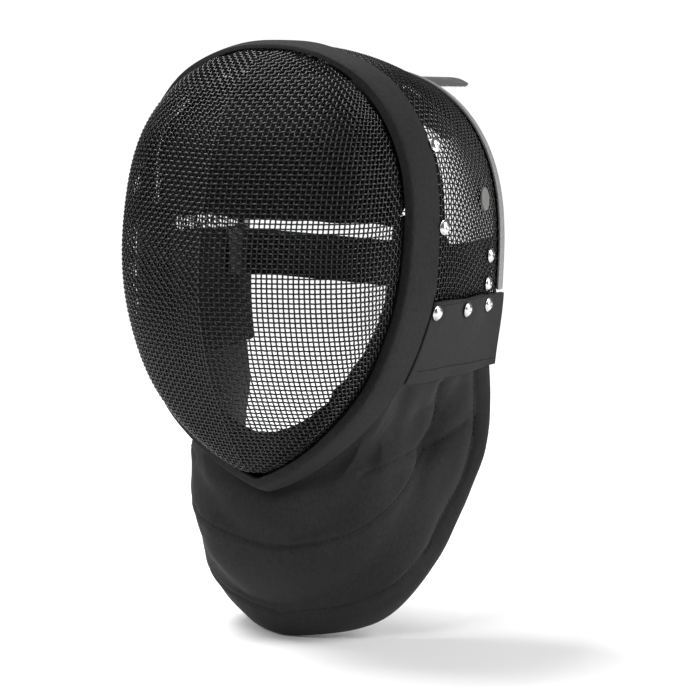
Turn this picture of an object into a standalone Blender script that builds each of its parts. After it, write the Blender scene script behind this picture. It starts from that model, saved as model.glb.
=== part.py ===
"""Fencing mask with a padded bib, as separate pieces.

Lengths are in metres. The mask faces -Y, +Z is up and +X is the wearer's left.
Shapes are worked out from the top of the band and the plane of the seam; place() then puts
the origin where the crown of the head meets the underside of the crown pad.
"""
import math

import bpy
import numpy as np

# Overall sizes
SEAM_WIDTH = 0.187
SEAM_HEIGHT = 0.264
SEAM_TOP = 0.0055
WIDEST = 0.377
FACE_DEPTH = 0.086
SEAM_SWAY = 0.022
SHELL_DEPTH = 0.121
REAR_WIDTH = 0.194
REAR_DROP = 0.022
REAR_WIDEST = 0.106
BIB_DROP = 0.108
BIB_CENTRE = 0.060
BIB_TURN = math.radians(113.5)

# Walls and fits
GAP = 0.0003
CLEAR = 0.0009
MESH_WALL = 0.002
BAND_WALL = 0.0022
BAND_STAND = 0.0116
BAND_REACH = 0.0265
PANEL_WALL = 0.002
LINING_WALL = 0.003
PAD_WALL = 0.010
CROWN_WALL = 0.008
BIB_WALL = 0.009
TUCK = 0.0034
TUCK_WALL = 0.0030
QUILT_DEPTH = 0.0042
QUILT_HALF = 0.0075
CREASE = math.radians(20.0)

# Fittings
TRIM_REACH = 0.006
TRIM_WALL = 0.0013
TONGUE_HALF = 0.022
TONGUE_WALL = 0.0012
TONGUE_ARCH = 0.0062
TONGUE_OUT = 0.110
TONGUE_DROP = 0.004
STRAP_WIDTH = 0.030
STRAP_WALL = 0.0018
RIVET_R = 0.0047
RIVET_H = 0.0024
DISC_R = 0.0075
DISC_H = 0.0016

# Where the head sits, from the band top and the seam plane
SEAT_BACK = 0.062
SEAT_DROP = 0.0275

# share of seam height above the chin, share of SEAM_SWAY the seam stands forward
SEAM_PLAN = ((0.00, 0.93), (0.11, 1.00), (0.30, 0.60), (0.51, 0.14), (0.66, 0.00), (0.87, 0.08), (1.00, 0.22))

# share of the drop from the widest height to the chin, share of the half width
SEAM_LOWER = (
    (0.00, 1.000), (0.15, 0.997), (0.25, 0.984), (0.36, 0.958), (0.46, 0.910), (0.60, 0.822),
    (0.70, 0.712), (0.80, 0.552), (0.89, 0.362), (0.96, 0.165), (1.00, 0.000),
)

# share of seam height above the chin, share of FACE_DEPTH the ridge stands forward, fullness of the sides
RIDGE = (
    (0.000, 0.255, 0.58), (0.028, 0.380, 0.58), (0.097, 0.560, 0.57), (0.210, 0.777, 0.585),
    (0.331, 0.930, 0.61), (0.445, 0.994, 0.67), (0.513, 1.000, 0.69), (0.581, 0.970, 0.68),
    (0.668, 0.905, 0.66), (0.778, 0.810, 0.645), (0.866, 0.660, 0.62), (0.953, 0.360, 0.56),
    (0.983, 0.220, 0.52), (1.000, 0.080, 0.50),
)

# way round the seam from the top to the chin, share of BAND_STAND, share of BAND_REACH
BAND_SHAPE = (
    (0.00, 0.44, 0.57), (0.12, 0.58, 0.64), (0.25, 0.90, 0.77), (0.40, 1.00, 0.83), (0.50, 1.00, 0.85),
    (0.62, 1.00, 1.00), (0.72, 1.00, 1.00), (0.80, 0.98, 0.88), (0.90, 0.96, 0.62), (1.00, 0.96, 0.53),
)

# way round the seam, depth of the padding inside it
PADDING = ((0.50, 0.0130), (0.60, 0.0160), (0.80, 0.0180), (0.92, 0.0230), (1.00, 0.0300))

# share of the drop below the widest height of the seam, share of it at the rear
REAR_LEVEL = ((0.00, 0.140), (0.32, 0.354), (0.62, 0.650), (1.00, 0.980))

# share of BIB_DROP below the chin, half width and front reach as shares of SHELL_DEPTH, slant at the rear
BIB_PLAN = (
    (-0.576, 0.800, 0.595, -0.060), (-0.338, 0.690, 0.628, 0.250), (-0.186, 0.668, 0.645, 0.330),
    (0.014, 0.684, 0.661, 0.290), (0.300, 0.690, 0.635, 0.250), (0.538, 0.662, 0.603, 0.220),
    (0.671, 0.634, 0.548, 0.200), (0.795, 0.578, 0.485, 0.200), (0.900, 0.504, 0.440, 0.200),
    (1.000, 0.390, 0.400, 0.200),
)

# share of BIB_DROP below the chin, share of BIB_TURN the rear edge is round from the front
BIB_REAR = ((-0.576, 1.052), (-0.338, 1.031), (-0.186, 1.013), (0.014, 1.000), (1.000, 1.000))

# way round the bib from the front to the rear edge, share of BIB_DROP of its lower edge
BIB_EDGE = (
    (0.000, 1.000), (0.134, 0.992), (0.449, 0.967), (0.576, 0.938), (0.648, 0.897), (0.725, 0.793),
    (0.793, 0.643), (0.855, 0.546), (0.925, 0.316), (0.969, 0.167), (1.000, 0.014),
)

# quilting lines: way round the bib, share of BIB_DROP below the chin
QUILTS = (
    ((0.00, 0.400), (0.12, 0.385), (0.24, 0.300), (0.36, 0.130), (0.44, -0.080), (0.50, -0.300), (0.55, -0.580)),
    ((0.00, 0.810), (0.15, 0.800), (0.28, 0.740), (0.42, 0.590), (0.55, 0.370), (0.68, 0.120), (0.78, -0.130),
     (0.84, -0.350), (0.87, -0.600)),
    ((0.16, -0.060), (0.30, -0.120), (0.44, -0.190), (0.60, -0.280), (0.74, -0.360)),
)

BLACK_WIRE = (0.020, 0.020, 0.022)
GREY_CLOTH = (0.075, 0.077, 0.082)
BLACK_CLOTH = (0.045, 0.046, 0.050)
LINING_CLOTH = (0.018, 0.018, 0.020)
GREY_TRIM = (0.300, 0.305, 0.310)
BRIGHT_STEEL = (0.620, 0.620, 0.630)
GREY_DISC = (0.340, 0.340, 0.345)

HALF = SEAM_WIDTH / 2
UPPER = WIDEST * SEAM_HEIGHT
LOWER = SEAM_HEIGHT - UPPER
CHIN_Z = -SEAM_TOP - SEAM_HEIGHT
LEVEL_Z = -SEAM_TOP - UPPER
REAR_HALF = REAR_WIDTH / 2


def curve(x, table, column=1):
    """Smooth value of a table at x, without overshoot between its rows."""
    xs = np.array([row[0] for row in table], float)
    ys = np.array([row[column] for row in table], float)
    step = np.diff(xs)
    rise = np.diff(ys) / step
    slope = np.zeros(len(xs))
    slope[0] = rise[0]
    slope[-1] = rise[-1]
    for i in range(1, len(xs) - 1):
        if rise[i - 1] * rise[i] > 0:
            before = 2 * step[i] + step[i - 1]
            after = step[i] + 2 * step[i - 1]
            slope[i] = (before + after) / (before / rise[i - 1] + after / rise[i])
    x = np.clip(np.asarray(x, float), xs[0], xs[-1])
    k = np.clip(np.searchsorted(xs, x, side="right") - 1, 0, len(step) - 1)
    f = (x - xs[k]) / step[k]
    low = (1 + 2 * f) * (1 - f) ** 2 * ys[k] + f * (1 - f) ** 2 * step[k] * slope[k]
    high = f * f * (3 - 2 * f) * ys[k + 1] + f * f * (f - 1) * step[k] * slope[k + 1]
    return low + high


def seam(t):
    """Half outline of the seam from the top (t = 0) to the chin (t = 1): x, z."""
    t = np.asarray(t, float)
    up = np.clip(t / 0.5, 0, 1) * math.pi / 2
    down = np.clip((t - 0.5) / 0.5, 0, 1)
    power = 2 / 2.2
    drop = 1 - (1 - down) ** 1.25
    x = np.where(t <= 0.5, HALF * np.sin(up) ** power, HALF * curve(drop, SEAM_LOWER))
    z = np.where(t <= 0.5, -SEAM_TOP - UPPER * (1 - np.cos(up) ** power), LEVEL_Z - LOWER * drop)
    return x, z


def seam_y(z):
    return -SEAM_SWAY * curve((z - CHIN_Z) / SEAM_HEIGHT, SEAM_PLAN)


def outward(t):
    """Unit normal of the seam outline in the XZ plane."""
    t = np.asarray(t, float)
    step = 0.012
    ahead = np.minimum(t + step, 1.0)
    behind = np.maximum(t - step, 0.0)
    x1, z1 = seam(ahead)
    x0, z0 = seam(behind)
    nx = -(z1 - z0)
    nz = x1 - x0
    nx = np.where((t <= 0) | (t >= 1), 0.0, nx)
    nz = np.where(t <= 0, 1.0, np.where(t >= 1, -1.0, nz))
    size = np.hypot(nx, nz)
    return nx / size, nz / size


def band_stand(t):
    return BAND_STAND * curve(t, BAND_SHAPE, 1)


def band_reach(t):
    return BAND_REACH * curve(t, BAND_SHAPE, 2)


def rear(t):
    """Half outline of the rear edge matched to the same way round: x, z."""
    t = np.asarray(t, float)
    up = np.clip(t / 0.5, 0, 1) * math.pi / 2
    power = 2 / 2.3
    widest_z = -REAR_DROP - REAR_WIDEST
    z = np.where(t <= 0.5, -REAR_DROP - REAR_WIDEST * (1 - np.cos(up) ** power), widest_z)
    x = np.where(t <= 0.5, REAR_HALF * np.sin(up) ** power, REAR_HALF)
    _, front_z = seam(t)
    down = np.clip((LEVEL_Z - front_z) / LOWER, 0, 1)
    low_z = LEVEL_Z - LOWER * curve(down, REAR_LEVEL)
    shift = widest_z - (LEVEL_Z - LOWER * REAR_LEVEL[0][1])
    low_z = low_z + shift * (1 - down)
    x = np.where(t > 0.5, REAR_HALF * (1 - 0.08 * down ** 1.5), x)
    z = np.where(t > 0.5, low_z, z)
    return x, z


def wall_line(t, y):
    """Outer face of the side shell on the wearer's left: x, z at the way round t and depth y."""
    t = np.asarray(t, float)
    y = np.asarray(y, float)
    sx, sz = seam(t)
    nx, nz = outward(t)
    stand = band_stand(t)
    reach = band_reach(t)
    from_seam = y - seam_y(sz)
    near = 0.655 * stand - 0.0024
    far = stand - BAND_WALL
    share = np.clip((from_seam - 0.0042) / (reach - 0.0042), -0.6, 1)
    offset = near + (far - near) * share - GAP
    edge = far - GAP
    ex = sx + edge * nx
    ez = sz + edge * nz
    rx, rz = rear(t)
    run = SHELL_DEPTH - (seam_y(sz) + reach)
    g = np.clip((from_seam - reach) / run, 0, 1)
    flare = (far - near) / (reach - 0.0042) * run * np.clip(0.2 + 2.0 * t, 0.2, 0.8)
    h0 = (1 + 2 * g) * (1 - g) ** 2
    m0 = g * (1 - g) ** 2 * flare
    h1 = g * g * (3 - 2 * g)
    m1 = g * g * (g - 1)
    x = h0 * ex + m0 * nx + h1 * rx + m1 * 1.4 * (rx - ex)
    z = h0 * ez + m0 * nz + h1 * rz + m1 * 1.4 * (rz - ez)
    under = from_seam <= reach
    return np.where(under, sx + offset * nx, x), np.where(under, sz + offset * nz, z)


def wall(t, y, out=0.0):
    """Point of the side shell, moved out by a distance square to it. t < 0 is the wearer's right."""
    t = np.asarray(t, float)
    y = np.asarray(y, float)
    side = np.sign(t)
    a = np.abs(t)
    step = 0.01
    x, z = wall_line(a, y)
    x1, z1 = wall_line(np.minimum(a + step, 1.0), y)
    x0, z0 = wall_line(np.abs(a - step), y)
    x0 = np.where(a < step, -x0, x0)
    nx = -(z1 - z0)
    nz = x1 - x0
    size = np.hypot(nx, nz)
    x = x + out * nx / size
    z = z + out * nz / size
    x = np.where(side == 0, 0.0, x * np.where(side == 0, 1.0, side))
    return np.stack(np.broadcast_arrays(x, y, z), -1)


def wall_t(z, y):
    """Way round at which the side shell is at the height z and the depth y."""
    low = 0.0
    high = 0.9
    for _ in range(40):
        mid = (low + high) / 2
        if wall_line(mid, y)[1] > z:
            low = mid
        else:
            high = mid
    return (low + high) / 2


def grid_normals(points):
    along = np.gradient(points, axis=0)
    across = np.gradient(points, axis=1)
    n = np.cross(along, across)
    return n / np.linalg.norm(n, axis=-1, keepdims=True)


def place(points):
    """From the band top and seam plane to the origin at the head seat."""
    return np.asarray(points, float) - np.array([0.0, SEAT_BACK, -SEAT_DROP])


MATERIALS = {}


def material(colour, rough, metal):
    key = (colour, rough, metal)
    if key not in MATERIALS:
        mat = bpy.data.materials.new("finish_%d" % (len(MATERIALS) + 1))
        mat.use_nodes = True
        node = mat.node_tree.nodes["Principled BSDF"]
        node.inputs["Base Color"].default_value = (*colour, 1.0)
        node.inputs["Roughness"].default_value = rough
        node.inputs["Metallic"].default_value = metal
        MATERIALS[key] = mat
    return MATERIALS[key]


def solid(name, points, faces, colour, rough=0.85, metal=0.0, smooth=True):
    """One closed piece; the faces are turned outward by the sign of its volume."""
    points = place(points)
    volume = 0.0
    for face in faces:
        for i in range(1, len(face) - 1):
            volume += np.dot(points[face[0]], np.cross(points[face[i]], points[face[i + 1]]))
    if volume < 0:
        faces = [tuple(reversed(face)) for face in faces]
    mesh = bpy.data.meshes.new(name)
    mesh.from_pydata([tuple(p) for p in points], [], faces)
    mesh.validate()
    for polygon in mesh.polygons:
        polygon.use_smooth = smooth
    mesh.materials.append(material(colour, rough, metal))
    thing = bpy.data.objects.new(name, mesh)
    bpy.context.collection.objects.link(thing)
    return thing


def between(outer, inner):
    """Points and faces of the closed piece between two matching grids."""
    rows, cols = outer.shape[:2]
    count = rows * cols
    points = np.concatenate([outer.reshape(-1, 3), inner.reshape(-1, 3)])
    faces = []
    for i in range(rows - 1):
        for j in range(cols - 1):
            a = i * cols + j
            faces.append((a, a + 1, a + cols + 1, a + cols))
            b = a + count
            faces.append((b, b + cols, b + cols + 1, b + 1))
    rim = [(0, j) for j in range(cols)] + [(i, cols - 1) for i in range(1, rows)]
    rim += [(rows - 1, j) for j in range(cols - 2, -1, -1)] + [(i, 0) for i in range(rows - 2, 0, -1)]
    ids = [i * cols + j for i, j in rim]
    for k, a in enumerate(ids):
        b = ids[(k + 1) % len(ids)]
        faces.append((a, a + count, b + count, b))
    return points, faces


def sheet(name, outer, thickness, colour, **look):
    """Piece of even thickness behind a grid whose normals point out."""
    points, faces = between(outer, outer - grid_normals(outer) * thickness)
    return solid(name, points, faces, colour, **look)


def sweep(name, sections, colour, closed=False, **look):
    """Closed piece along a run of matching section loops."""
    count, sides = sections.shape[:2]
    faces = []
    spans = count if closed else count - 1
    for i in range(spans):
        a = i * sides
        b = ((i + 1) % count) * sides
        for j in range(sides):
            k = (j + 1) % sides
            faces.append((a + j, a + k, b + k, b + j))
    if not closed:
        faces.append(tuple(range(sides - 1, -1, -1)))
        faces.append(tuple(range((count - 1) * sides, count * sides)))
    return solid(name, sections.reshape(-1, 3), faces, colour, **look)


def face_mesh():
    rows = 20
    half_cols = 11
    t = 0.5 - 0.5 * np.cos(np.linspace(0.10, 0.915, rows) * math.pi)
    grid = np.zeros((rows, 2 * half_cols + 1, 3))
    for i, way in enumerate(t):
        x, z = seam(way)
        z = float(z)
        width = float(x)
        y_seam = float(seam_y(z))
        share_up = (z - CHIN_Z) / SEAM_HEIGHT
        y_ridge = -FACE_DEPTH * float(curve(share_up, RIDGE))
        full = float(curve(share_up, RIDGE, 2))
        deep = y_seam - y_ridge
        even = np.linspace(0, 1, half_cols + 1)
        share = 0.6 * even + 0.4 * (0.5 - 0.5 * np.cos(even * math.pi))
        lift = min(0.75 * width * math.tan(CREASE), 0.34 * deep)
        knots_x = (0.0, 0.75 * width, width, width)
        knots_y = (-deep, -deep + lift, -full * deep, 0.0)
        weights = ((1 - share) ** 3, 3 * share * (1 - share) ** 2, 3 * share ** 2 * (1 - share), share ** 3)
        px = sum(w * k for w, k in zip(weights, knots_x))
        py = y_seam + sum(w * k for w, k in zip(weights, knots_y))
        grid[i, half_cols:, 0] = px
        grid[i, half_cols::-1, 0] = -px
        grid[i, half_cols:, 1] = py
        grid[i, half_cols::-1, 1] = py
        grid[i, :, 2] = z
    return sheet("face_mesh", grid, MESH_WALL, BLACK_WIRE, rough=0.4, metal=0.6)


def side_mesh():
    low = wall_t(LEVEL_Z - 0.074, 0.03)
    ways = np.linspace(-low, low, 41)
    depths = np.array([0.0, 0.09, 0.18, 0.34, 0.54, 0.77, 1.0])
    grid = np.zeros((len(ways), len(depths), 3))
    for i, way in enumerate(ways):
        start = float(seam_y(seam(abs(way))[1])) + 0.0065
        grid[i] = wall(way, start + (SHELL_DEPTH - start) * depths)
    inner = np.zeros_like(grid)
    for i, way in enumerate(ways):
        inner[i] = wall(way, grid[i, :, 1], -MESH_WALL)
    points, faces = between(grid, inner)
    return solid("side_mesh", points, faces, BLACK_WIRE, rough=0.4, metal=0.6)


def loop_ways(half_count, first=0.0, last=1.0):
    """Ways round from the top over the wearer's left to the chin and back over the right."""
    left = np.linspace(first, last, half_count + 1)
    if first == 0.0:
        return np.concatenate([left, -left[-2:0:-1]])
    return np.concatenate([left, -left[-2::-1]])


def seam_point(way, out, back):
    """Point at a distance out from the seam line and back from it."""
    a = abs(way)
    x, z = seam(a)
    nx, nz = outward(a)
    side = -1.0 if way < 0 else 1.0
    return (side * float(x + out * nx), float(seam_y(z)) + back, float(z + out * nz))


def binding_band():
    ways = loop_ways(28)
    sections = []
    for way in ways:
        stand = float(band_stand(abs(way)))
        reach = float(band_reach(abs(way)))
        loop = (
            (0.0006, -0.0016), (0.50 * stand, -0.0008), (0.655 * stand, 0.0022), (stand, reach),
            (stand - BAND_WALL, reach), (0.655 * stand - 0.0024, 0.0042), (0.0006, 0.0012),
        )
        sections.append([seam_point(way, out, back) for out, back in loop])
    return sweep("binding_band", np.array(sections), GREY_CLOTH, closed=True, smooth=False)


def rear_trim():
    low = wall_t(-REAR_DROP - 0.1385, SHELL_DEPTH)
    ways = np.linspace(-low, low, 41)
    lip = GAP + TRIM_WALL
    inside = -MESH_WALL - GAP
    start = SHELL_DEPTH - TRIM_REACH
    stop = SHELL_DEPTH + GAP
    loop = (
        (lip, start), (lip, stop + TRIM_WALL), (inside - TRIM_WALL, stop + TRIM_WALL),
        (inside - TRIM_WALL, start), (inside, start), (inside, stop), (GAP, stop), (GAP, start),
    )
    sections = []
    for way in ways:
        row = []
        for out, back in loop:
            point = wall(way, min(back, SHELL_DEPTH), out)
            point[1] = back
            row.append(point)
        sections.append(row)
    return sweep("rear_trim", np.array(sections), GREY_TRIM, rough=0.5, smooth=False)


PANEL_TOP = wall_t(LEVEL_Z - 0.054, 0.06)
PANEL_LOW = wall_t(LEVEL_Z - 0.1035, 0.06)


def band_edge(way):
    return float(seam_y(seam(abs(way))[1]) + band_reach(abs(way)))


def side_panels():
    for side, label in ((1, "left"), (-1, "right")):
        ways = np.linspace(PANEL_TOP, PANEL_LOW, 6)
        depths = np.linspace(0, 1, 10)
        outer = np.zeros((len(ways), len(depths), 3))
        inner = np.zeros_like(outer)
        for i, way in enumerate(ways):
            start = band_edge(way) + 0.0006
            stop = SHELL_DEPTH * (1.005 - 0.04 * i / (len(ways) - 1))
            y = start + (stop - start) * depths
            outer[i] = wall(side * way, y, CLEAR + PANEL_WALL)
            inner[i] = wall(side * way, y, CLEAR)
        points, faces = between(outer, inner)
        solid("bib_side_%s" % label, points, faces, GREY_CLOTH)


def turn(point):
    """Angle of a point round the middle of the bib, from the front."""
    return math.atan2(point[0], BIB_CENTRE - point[1])


def bib_turn(s, z):
    return s * BIB_TURN * float(curve((CHIN_Z - z) / BIB_DROP, BIB_REAR))


def band_foot(way, tuck=0.0):
    """Where the bib leaves the band; tucked, the point under the edge of the band."""
    out = float(band_stand(way)) - BAND_WALL - 0.0011 - 0.15 * tuck
    return np.array(seam_point(way, out, float(band_reach(way)) + 0.0008 - tuck))


def panel_foot(y, tuck=0.0):
    """Where the bib leaves the side panel; tucked, the point behind its lower edge."""
    return wall(PANEL_LOW, y, CLEAR - 0.0006) + np.array([0.0, 0.0, tuck - 0.0008])


def bib_top(s):
    """Line where the bib comes out, and the line of its tucked edge."""
    corner = band_edge(PANEL_LOW) + 0.0010
    goal = bib_turn(s, float(panel_foot(corner)[2]))
    if s <= 0:
        return band_foot(1.0), band_foot(1.0, TUCK)
    if goal < turn(band_foot(PANEL_LOW)):
        low, high = PANEL_LOW, 1.0
        for _ in range(40):
            mid = (low + high) / 2
            if turn(band_foot(mid)) > bib_turn(s, float(band_foot(mid)[2])):
                low = mid
            else:
                high = mid
        return band_foot((low + high) / 2), band_foot((low + high) / 2, TUCK)
    low, high = corner, SHELL_DEPTH
    for _ in range(40):
        mid = (low + high) / 2
        if turn(panel_foot(mid)) < goal:
            low = mid
        else:
            high = mid
    return panel_foot((low + high) / 2), panel_foot((low + high) / 2, TUCK)


def bib_plan(z, s):
    """Level section of the bib at the height z, way round s from the front to the rear edge."""
    share = (CHIN_Z - z) / BIB_DROP
    half = SHELL_DEPTH * float(curve(share, BIB_PLAN, 1))
    front = SHELL_DEPTH * float(curve(share, BIB_PLAN, 2))
    slant = float(curve(share, BIB_PLAN, 3))
    angle = bib_turn(s, z)
    if angle <= math.pi / 2:
        reach = 1 / math.hypot(math.sin(angle) / half, math.cos(angle) / front)
        return reach * math.sin(angle), BIB_CENTRE - reach * math.cos(angle)
    lean = math.tan(angle - math.pi / 2)
    x = half / (1 - slant * lean)
    return x, BIB_CENTRE + x * lean


def quilt_sink(s, z, arc):
    """Depth of the stitched channels at a place on the bib."""
    sink = 0.0
    for line in QUILTS:
        best = 1.0
        for (s0, d0), (s1, d1) in zip(line[:-1], line[1:]):
            a = np.array([s0 * arc, -d0 * BIB_DROP])
            b = np.array([s1 * arc, -d1 * BIB_DROP])
            p = np.array([s * arc, z - CHIN_Z])
            f = np.clip(np.dot(p - a, b - a) / np.dot(b - a, b - a), 0, 1)
            best = min(best, float(np.linalg.norm(p - a - f * (b - a))))
        sink = max(sink, math.exp(-(best / QUILT_HALF) ** 2))
    return QUILT_DEPTH * sink


def bib():
    half_cols = 22
    rows = 16
    ways = np.linspace(0, 1, half_cols + 1)
    arc = 0.175
    half = np.zeros((rows, half_cols + 1, 3))
    sink = np.zeros((rows, half_cols + 1))
    thick = np.zeros((rows, half_cols + 1))
    for j, s in enumerate(ways):
        top, tuck = bib_top(s)
        low_z = CHIN_Z - BIB_DROP * float(curve(s, BIB_EDGE))
        tx, ty = bib_plan(top[2], s)
        half[0, j] = tuck
        thick[0, j] = TUCK_WALL
        for i in range(1, rows):
            h = (i - 1) / (rows - 2)
            z = top[2] + (low_z - top[2]) * h
            x, y = bib_plan(z, s)
            fade = (1 - h) ** 2.2
            half[i, j] = (x + (top[0] - tx) * fade, y + (top[1] - ty) * fade, z)
            down = h * (top[2] - low_z)
            up = (1 - h) * (top[2] - low_z)
            thick[i, j] = TUCK_WALL + (BIB_WALL - TUCK_WALL) * min(1.0, down / 0.022)
            sink[i, j] = quilt_sink(s, z, arc) * min(1.0, down / 0.010) + 0.0025 * max(0.0, 1 - up / 0.012) ** 2
    flip = np.array([-1, 1, 1])
    full = np.concatenate([half[:, :0:-1] * flip, half], axis=1)
    sunk = np.concatenate([sink[:, :0:-1], sink], axis=1)[..., None]
    wide = np.concatenate([thick[:, :0:-1], thick], axis=1)[..., None]
    normal = grid_normals(full)
    if normal[rows // 2, half_cols, 1] > 0:
        normal = -normal
    points, faces = between(full - normal * sunk, full - normal * wide)
    return solid("bib", points, faces, GREY_CLOTH)


def forehead_pad():
    # height below the band top, depth of the middle and of the ends: shares of SEAM_HEIGHT;
    # half width as a share of the room inside the side shell
    rows = (
        (0.410, -0.120, 0.055, 0.800), (0.330, -0.140, 0.060, 0.930), (0.240, -0.120, 0.068, 0.995),
        (0.160, -0.060, 0.082, 0.975), (0.105, 0.020, 0.095, 0.900), (0.085, 0.075, 0.110, 0.820),
    )
    cols = np.linspace(-1, 1, 19)
    grid = np.zeros((len(rows), len(cols), 3))
    for i, (drop, mid, end, share) in enumerate(rows):
        z = -SEAM_HEIGHT * drop
        y = SEAM_HEIGHT * end
        room = float(wall(wall_t(z, y), y, -MESH_WALL - CLEAR)[0])
        angle = cols * math.pi / 2 * 0.98
        grid[i, :, 0] = room * share * np.sin(angle)
        grid[i, :, 1] = y + SEAM_HEIGHT * (mid - end) * np.cos(angle) ** 1.25
        grid[i, :, 2] = z - SEAM_HEIGHT * 0.022 * (cols ** 2)
    normal = grid_normals(grid)
    if normal[1, 9, 1] > 0:
        normal = -normal
    points, faces = between(grid, grid - normal * PAD_WALL)
    return solid("forehead_pad", points, faces, LINING_CLOTH)


def crown_pad():
    ways = np.linspace(-0.30, 0.30, 15)
    depths = np.linspace(0.30, 0.87, 7) * SHELL_DEPTH
    outer = np.array([wall(way, depths, -0.011) for way in ways])
    inner = np.array([wall(way, depths, -0.011 - CROWN_WALL) for way in ways])
    points, faces = between(outer, inner)
    return solid("crown_pad", points, faces, LINING_CLOTH)


def cheek_linings():
    # depth share behind the band edge, height of the upper edge below the band top
    upper = (
        (0.000, 0.0620), (0.075, 0.0630), (0.105, 0.0740), (0.125, 0.1000), (0.145, 0.1180), (0.200, 0.1245),
        (0.400, 0.1260), (0.600, 0.1265), (0.800, 0.1270), (0.960, 0.1270),
    )
    for side, label in ((1, "left"), (-1, "right")):
        outer = np.zeros((9, len(upper), 3))
        inner = np.zeros_like(outer)
        for j, (share, drop) in enumerate(upper):
            y = 0.0235 + (SHELL_DEPTH - 0.0235) * share
            top = wall_t(-drop, y)
            low = wall_t(LEVEL_Z - 0.1000, y)
            for i, way in enumerate(np.linspace(top, low, 9)):
                outer[i, j] = wall(side * way, y, -MESH_WALL - CLEAR)
                inner[i, j] = wall(side * way, y, -MESH_WALL - CLEAR - LINING_WALL)
                if y > SHELL_DEPTH - TRIM_REACH - 0.001:
                    outer[i, j] = wall(side * way, y, -MESH_WALL - CLEAR - TRIM_WALL)
                    inner[i, j] = wall(side * way, y, -MESH_WALL - CLEAR - TRIM_WALL - LINING_WALL * 0.6)
        points, faces = between(outer, inner)
        solid("cheek_lining_%s" % label, points, faces, LINING_CLOTH)


def chin_padding():
    ways = loop_ways(18, 0.50, 1.0)
    sections = []
    for way in ways:
        a = abs(way)
        reach = min(float(band_reach(a)) - 0.002, 0.024)
        deep = float(curve(a, PADDING))
        top = 0.0029
        loop = (
            (top, 0.0060), (top + 0.0008, reach * 0.6), (top, reach), (top - deep * 0.6, reach + 0.001),
            (top - deep, reach * 0.8), (top - deep, 0.010), (top - deep * 0.6, 0.0066),
        )
        sections.append([seam_point(way, out, back) for out, back in loop])
    return sweep("chin_padding", np.array(sections), LINING_CLOTH)


def tongue():
    depths = np.array([0.40, 0.55, 0.70, 0.85, 0.98, 1.12, 1.28, 1.44, 1.58, 1.66, 1.69]) * SHELL_DEPTH
    stop = SHELL_DEPTH + TONGUE_OUT
    depths = depths * stop / depths[-1]
    across = np.linspace(-1, 1, 9)
    grid = np.zeros((len(depths), len(across), 3))
    slope = None
    for i, y in enumerate(depths):
        inside = min(y, SHELL_DEPTH)
        z = wall(0.0, inside, -MESH_WALL - GAP - TRIM_WALL - 0.0006)[2]
        if y > SHELL_DEPTH:
            f = (y - SHELL_DEPTH) / TONGUE_OUT
            z -= TONGUE_DROP * (0.65 * f + 0.35 * f * f)
        left = stop - y
        rounding = TONGUE_HALF * 0.8
        half = TONGUE_HALF
        if left < rounding:
            half = TONGUE_HALF * (0.45 + 0.55 * math.sqrt(max(0.0, 1 - (1 - left / rounding) ** 2)))
        grid[i, :, 0] = half * across
        grid[i, :, 1] = y
        grid[i, :, 2] = z - TONGUE_ARCH * (across * half / TONGUE_HALF) ** 2
    normal = grid_normals(grid)
    if normal[5, 4, 2] < 0:
        normal = -normal
    points, faces = between(grid, grid - normal * TONGUE_WALL)
    return solid("tongue", points, faces, BRIGHT_STEEL, rough=0.3, metal=1.0)


STRAP_Z = -0.1465


def back_strap():
    """A tab on each side lining, then level across the rear opening."""
    heights = np.linspace(STRAP_WIDTH / 2, -STRAP_WIDTH / 2, 4) + STRAP_Z
    lean = -0.033
    tab_y = (0.092, 0.098, 0.104)
    face = -MESH_WALL - 2 * CLEAR - LINING_WALL
    end_x = float(wall(wall_t(STRAP_Z, tab_y[-1]), tab_y[-1], face - STRAP_WALL / 2)[0])
    across = ((end_x - 0.0030, 0.1080), (end_x - 0.010, 0.1110), (0.062, 0.1120), (0.036, 0.1130), (0.012, 0.1135))
    path = np.array([(end_x, tab_y[-1])] + list(across) + [(-0.012, 0.1135)])
    along = np.gradient(path, axis=0)
    along /= np.linalg.norm(along, axis=1, keepdims=True)
    normal = np.stack([along[:, 1], -along[:, 0]], -1)
    grids = []
    for side in (0, 1):
        half = []
        for y in tab_y:
            row = [wall(wall_t(z, y), y, face - STRAP_WALL * side) for z in heights]
            half.append([(p[0], y, z) for p, z in zip(row, heights)])
        for k in range(1, len(across) + 1):
            x, y = path[k] + normal[k] * STRAP_WALL * (0.5 - side)
            half.append([(x, y, z) for z in heights])
        half = np.array(half)
        grids.append(np.concatenate([half, half[::-1] * np.array([-1, 1, 1])]))
        grids[-1][..., 2] += lean * grids[-1][..., 0]
    points, faces = between(grids[0], grids[1])
    return solid("back_strap", points, faces, LINING_CLOTH)


def wall_frame(side, z, y, out):
    """Centre, normal and two directions in the surface at a place on the side shell."""
    t = side * wall_t(z, y)
    centre = wall(t, y, out)
    d = 0.004
    behind = wall(t, min(y + d, SHELL_DEPTH), out)
    ahead = wall(t, y - d, out)
    lower = wall(t + side * 0.01, y, out)
    upper = wall(t - side * 0.01, y, out)
    along = behind - ahead
    along /= np.linalg.norm(along)
    down = lower - upper
    normal = np.cross(along, down)
    normal /= np.linalg.norm(normal)
    if normal[0] * side < 0:
        normal = -normal
    across = np.cross(normal, along)
    return centre, normal, along, across


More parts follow.
